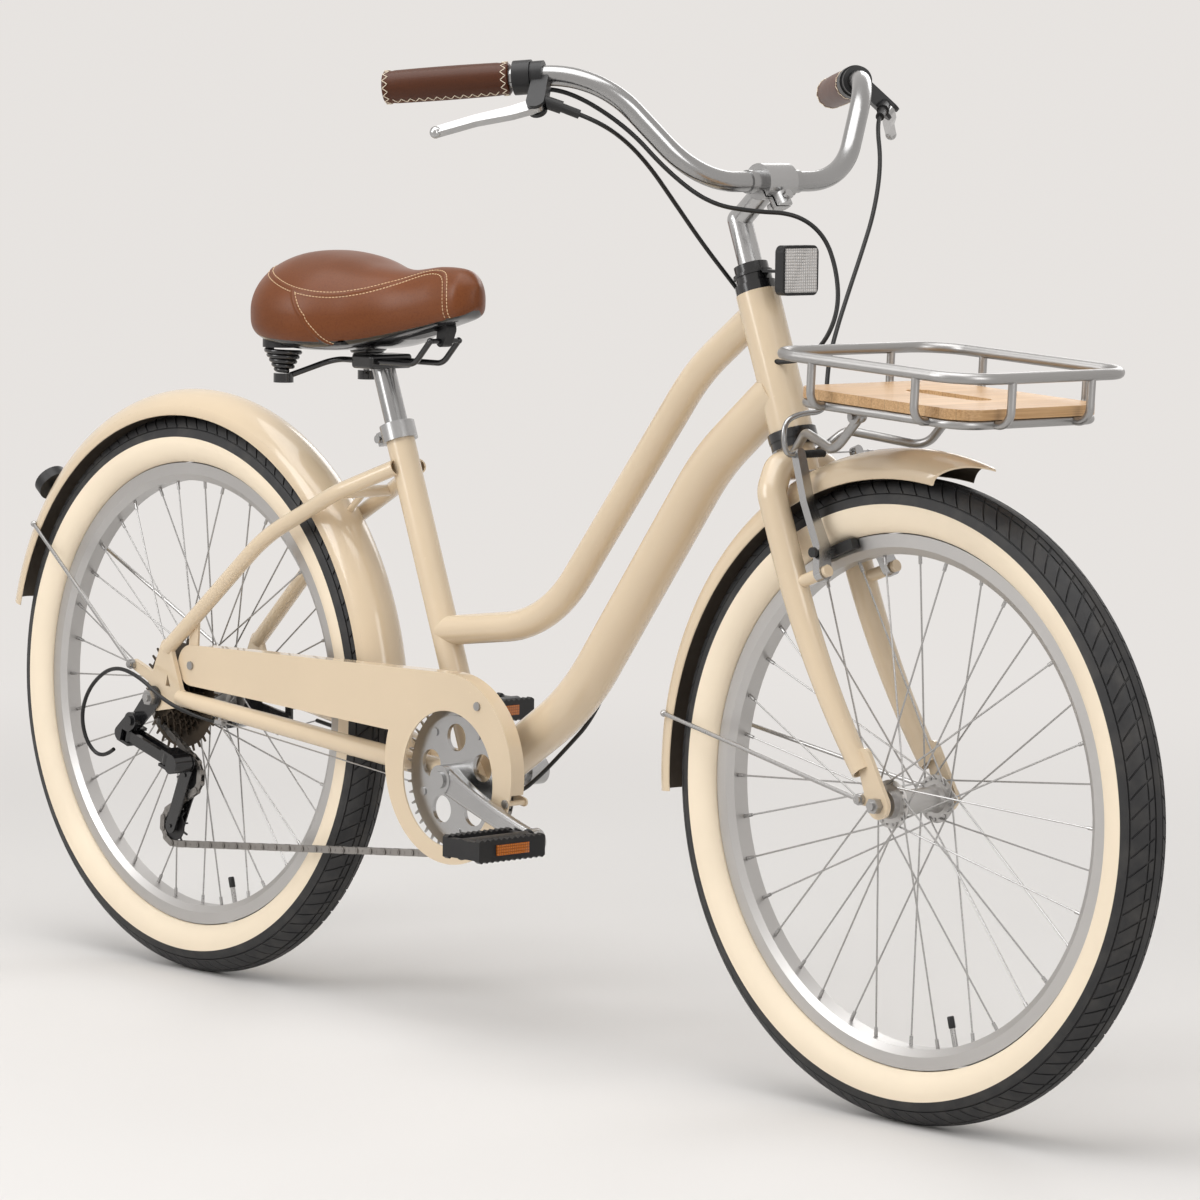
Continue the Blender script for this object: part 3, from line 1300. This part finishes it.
@dataclass
class Cables:
    """The control cables, each a smooth line by the same places as its tube in the frame. Sizes in mm."""

    radius: float = 2.5
    wire: float = 0.9
    tube_clear: float = 3.1
    tube_side: float = 26.0
    mouth_run: float = 22.0
    guide_radius: float = 3.0
    guide_level: float = 4.5
    arm_place: float = 1083.0
    wire_reach: float = 106.0
    crimp_length: float = 8.0
    crimp_radius: float = 1.4
    boot_start: float = 2.0
    boot_length: float = 28.0
    boot_radius: float = 3.4
    boot_fold: float = 1.0
    boot_folds: int = 9
    boot_mouth: float = 0.95

    def build(self) -> None:
        """Makes every housing, guide tube, boot and bare wire."""
        self._rear_brake()
        self._gear()
        self._front_brake()

    def _housing(self, name: str, points: list[Array]) -> bpy.types.Object:
        """A round housing along a smooth line, declared with its length."""
        path = nurbs_points(points)
        rings = tube_rings(path, self.radius * MM, 14, CABLE_GUIDE)
        piece = grid_piece(name, rings, smooth_angle=60.0)
        piece.data.materials.append(CABLE_SKIN.material())
        return piece

    def _wire_run(self, name: str, start: Array, end: Array) -> None:
        """A straight run of bare wire on the frame."""
        rings = tube_rings(np.linspace(start, end, 6), self.wire * MM, 8, WIRE_GUIDE)
        finish_piece(grid_piece(name, rings), SPOKE_STEEL.material(), "frame")

    def _mouth(self) -> tuple[Array, Array]:
        """Where a cable leaves the right lever's boot, and the end of its straight run there."""
        mouth = LEVER_PIVOT + (GRIP_IN * 42.0 - LEVER_OUT * 4.0 - LEVER_NORMAL * 20.0) * MM
        heading = unit_rows(GRIP_IN * 18.0 + LEVER_OUT - LEVER_NORMAL * 11.0)
        return mouth, mouth + heading * self.mouth_run * MM

    def _rear_brake(self) -> None:
        """From the right lever down beside the down tube to the left chain stay."""
        side = self.tube_side + self.tube_clear
        points = [*self._mouth(), place(936, -168, 1026), place(928, -124, 998), place(922, -80, 958),
                  place(924, -38, 912), place(932, 2, 868), place(946, 27, 832), place(966, 32, 792),
                  place(966, 33, 752), place(909.3, side + 1.0, 677.7), place(724.4, side, 430.9),
                  place(682, side, 362), place(640, side + 0.6, 326), place(600, side - 3.0, 290),
                  place(560, 25, 262), place(505, 29, 264), place(440, 31, 275.9), place(330, 45, 287.9),
                  place(150, 60.9, 305.8)]
        piece = self._housing("rear_brake_housing", points)
        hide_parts("control_cables")
        tuple(place(936, 0, 780))
        tuple(place(936, 0, 1010))
        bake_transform(piece)
        self._wire_run("rear_brake_wire", points[-1], place(74, 67, 286))

    def _gear(self) -> None:
        """From the twist grip into the head tube, and the loop from the chain stay to the derailleur."""
        start = GRIP_END + (GRIP_IN * 172.0 + LEVER_OUT * 8.0 - LEVER_NORMAL * 12.0) * MM
        second = GRIP_END + (GRIP_IN * 195.0 + LEVER_OUT * 8.0 - LEVER_NORMAL * 14.0) * MM
        points = [start, second, place(948, -176, 1040), place(972, -138, 992), place(994, -96, 958),
                  place(1010, -46, 950), place(1024, 4, 948), place(1048, 24, 926), place(1068, 24, 888),
                  place(1080, 16, 846), place(1074, 0, 808), place(1050, -14, 788), place(1012, -14, 788)]
        piece = self._housing("gear_housing", points)
        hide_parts("control_cables")
        tuple(place(1040, 0, 800))
        tuple(place(1000, 0, 1010))
        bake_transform(piece)
        points = [place(112, -64.5, 310), place(88, -64.5, 310), place(44, -90, 328), place(0, -98, 358),
                  place(-52, -98, 366), place(-100, -96, 338), place(-124, -93, 300), place(-122, -86, 262),
                  place(-99.8, -78, 243), place(-76, -78, 258)]
        piece = self._housing("gear_loop_housing", points)
        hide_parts("control_cables")
        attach(piece, "frame")
        self._wire_run("gear_wire", place(528, -24, 258), place(126.5, -64.5, 310))

    def _front_brake(self) -> None:
        """From the left lever to the bent guide tube, with the bare wire and its bellows over the tyre."""
        points = [*(point * MIRROR for point in self._mouth()), place(964, 196, 1000), place(986, 164, 948),
                  place(1006, 124, 902), place(1028, 82, 860), place(1050, 42, 820), place(1068, 12, 784),
                  place(1079, 0, 750)]
        piece = self._housing("front_brake_housing", points)
        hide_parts("front_brake_cable")
        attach(piece, "steering")
        corner = place(self.arm_place, 0, 0)
        corner[2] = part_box("front_brake_cable")[0][2] + self.guide_level * MM
        turns = ((-2, -40, 44), (-2, -64, 36), (0, -67, 14), (0, -62, 0), (0, -48, 0), (0, -37, 0))
        bend = [points[-1], place(self.arm_place, -6, 737), *(corner + np.array(turns) * MM)]
        rings = tube_rings(nurbs_points(bend), self.guide_radius * MM, 14, BEND_GUIDE)
        guide = grid_piece("brake_guide_tube", rings)
        guide.data.materials.append(POLISHED.material())
        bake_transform(guide)
        self._bare_wire(bend[-1])
        self._boot(bend[-1])

    def _bare_wire(self, tip: Array) -> None:
        """The wire across from the guide's tip, thicker at its far end where it is crimped."""
        reach, crimp = self.wire_reach, self.wire_reach - self.crimp_length
        profile = np.array([[0.0, 0.01], [0.0, self.wire], [crimp, self.wire], [crimp, self.crimp_radius],
                            [reach - 0.6, self.crimp_radius], [reach, self.wire], [reach, 0.01]])
        piece = grid_piece("front_brake_wire", lathe_rings(tip, LEFT, profile, 14))
        finish_piece(piece, SPOKE_STEEL.material(), "left_arm")

    def _boot(self, tip: Array) -> None:
        """The bellows over the wire: a radius that waves with cos along its length."""
        share = np.linspace(0.0, 1.0, 61)
        along = self.boot_start + self.boot_length * share
        folds = self.boot_radius + self.boot_fold * np.cos(share * 2.0 * math.pi * self.boot_folds)
        profile = np.vstack([[along[0], self.boot_mouth], np.stack([along, folds], axis=-1),
                             [along[-1], self.boot_mouth]])
        piece = grid_piece("brake_bellows", lathe_rings(tip, LEFT, profile, 20))
        finish_piece(piece, BLACK_RUBBER.material(), "right_arm")


# Set and main function

def seen_rays(tree: Tree) -> Socket:
    """1 for rays from the camera, off a shiny surface or through a clear one."""
    rays = add_node(tree, "LightPath").outputs
    direct = calculate(tree, "MAXIMUM", rays["Is Camera Ray"], rays["Is Glossy Ray"])
    return calculate(tree, "MAXIMUM", direct, rays["Is Transmission Ray"])


@dataclass
class Studio:
    """Pale floor, soft light and the photograph's camera."""

    focal: float = 5138.2
    image: float = 1200.0
    sensor: float = 36.0
    position: tuple[float, float, float] = (4972.9, -3913.7, 1080.0)
    yaw: float = 0.8264
    pitch: float = 0.0993
    roll: float = 0.0126
    backdrop: tuple[float, float, float] = (0.80, 0.772, 0.748)
    floor_colour: tuple[float, float, float] = (0.74, 0.722, 0.705)
    floor_rings: tuple[float, ...] = (60.0, 10.0, 4.0, 2.0, 1.0, 0.00001)
    floor_fade: tuple[float, float] = (1.1, 3.6)
    floor_roughness: float = 0.75
    floor_specular: float = 0.15
    light_colour: tuple[float, float, float] = (1.0, 0.985, 0.965)
    light_strength: float = 0.42

    def build(self) -> None:
        """Makes the camera, the floor, the lamps and the world."""
        self._camera()
        self._floor()
        self._world()
        self._lamps()

    def _camera(self) -> None:
        """Places the camera by its yaw, pitch and roll."""
        camera = bpy.data.cameras.new("camera")
        camera.lens = self.focal / self.image * self.sensor
        camera.sensor_width = self.sensor
        level = math.cos(self.pitch)
        forward = Vector((-math.sin(self.yaw) * level, math.cos(self.yaw) * level, -math.sin(self.pitch)))
        aside = forward.cross(Vector(UP)).normalized()
        above = aside.cross(forward)
        right = aside * math.cos(self.roll) + above * math.sin(self.roll)
        up = above * math.cos(self.roll) - aside * math.sin(self.roll)
        holder = bpy.data.objects.new("camera", camera)
        turn = Matrix((right, up, -forward)).transposed().to_4x4()
        holder.matrix_world = Matrix.Translation(Vector(place(*self.position))) @ turn
        bpy.context.scene.collection.objects.link(holder)
        bpy.context.scene.camera = holder

    def _floor(self) -> None:
        """A wide disc that takes the shadow near the object and is the backdrop's colour far away."""
        turn = round_angles(96)[None, :, None]
        radius = np.array(self.floor_rings)[:, None, None]
        rings = np.concatenate([radius * np.cos(turn), radius * np.sin(turn), 0.0 * radius * turn], axis=-1)
        floor = grid_piece("floor", rings, caps=False)
        material, tree, shader = new_material("studio_floor")
        distance = add_node(tree, "VectorMath", {0: object_spot(tree)}, operation="LENGTH").outputs["Value"]
        fade = remap(tree, distance, *self.floor_fade, interpolation_type="SMOOTHSTEP")
        share = calculate(tree, "MULTIPLY", seen_rays(tree), fade)
        glow = add_node(tree, "Emission", {"Color": opaque(self.backdrop)})
        feed(tree, shader, {"Base Color": opaque(self.floor_colour), "Roughness": self.floor_roughness,
                            "Specular IOR Level": self.floor_specular})
        mix_shaders(tree, share, shader.outputs["BSDF"], glow.outputs["Emission"], "Material Output")
        floor.data.materials.append(material)

    def _world(self) -> None:
        """Even pale surroundings, the backdrop's colour where the camera or a mirror sees them."""
        world = bpy.data.worlds.new("studio")
        world.use_nodes = True
        tree = world.node_tree
        plain = tree.nodes["Background"]
        feed(tree, plain, {"Color": opaque(self.light_colour), "Strength": self.light_strength})
        backdrop = add_node(tree, "Background", {"Color": opaque(self.backdrop)})
        both = (ground.outputs["Background"] for ground in (plain, backdrop))
        mix_shaders(tree, seen_rays(tree), *both, "World Output")
        bpy.context.scene.world = world

    @staticmethod
    def _lamp(name: str, spot: tuple[float, float, float], aim: tuple[float, float, float],
              size: tuple[float, float], power: float) -> None:
        """One soft rectangular lamp that faces a point."""
        lamp = bpy.data.lights.new(name, "AREA")
        lamp.shape = "RECTANGLE"
        lamp.size, lamp.size_y = size
        lamp.energy = power
        holder = bpy.data.objects.new(name, lamp)
        holder.location = spot
        holder.rotation_mode = "QUATERNION"
        holder.rotation_quaternion = (Vector(aim) - Vector(spot)).to_track_quat("-Z", "Y")
        bpy.context.scene.collection.objects.link(holder)

    def _lamps(self) -> None:
        """A broad lamp overhead, one on the right, one in front and one behind on the left."""
        self._lamp("overhead", (0.2, -0.8, 3.6), (0.0, 0.0, 0.4), (3.8, 2.8), 84.0)
        self._lamp("key", (-1.2, -3.6, 2.4), (0.0, 0.0, 0.6), (2.0, 2.4), 66.0)
        self._lamp("fill", (4.2, -0.6, 1.8), (0.2, 0.0, 0.6), (1.6, 2.2), 34.0)
        self._lamp("rim", (-1.5, 3.6, 2.4), (0.0, 0.0, 0.6), (2.4, 1.6), 30.0)


def main() -> None:
    """Builds every sub-assembly in order and reports each piece."""
    logging.basicConfig(level=logging.INFO, format="%(message)s")
    bpy.context.scene.view_settings.view_transform = "Standard"
    dress_frame()
    for assembly in (Tyre("front", FRONT_AXLE), Tyre("rear", REAR_AXLE),
                     FenderSkirts("front", FRONT_AXLE, "steering", start=73.0, end=184.0, tip_slope=1.69),
                     FenderSkirts("rear", REAR_AXLE, "frame", start=4.0, end=166.0),
                     Saddle(), Grips(), Cables(), Studio()):
        assembly.build()
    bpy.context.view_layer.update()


if __name__ == "__main__":
    main()
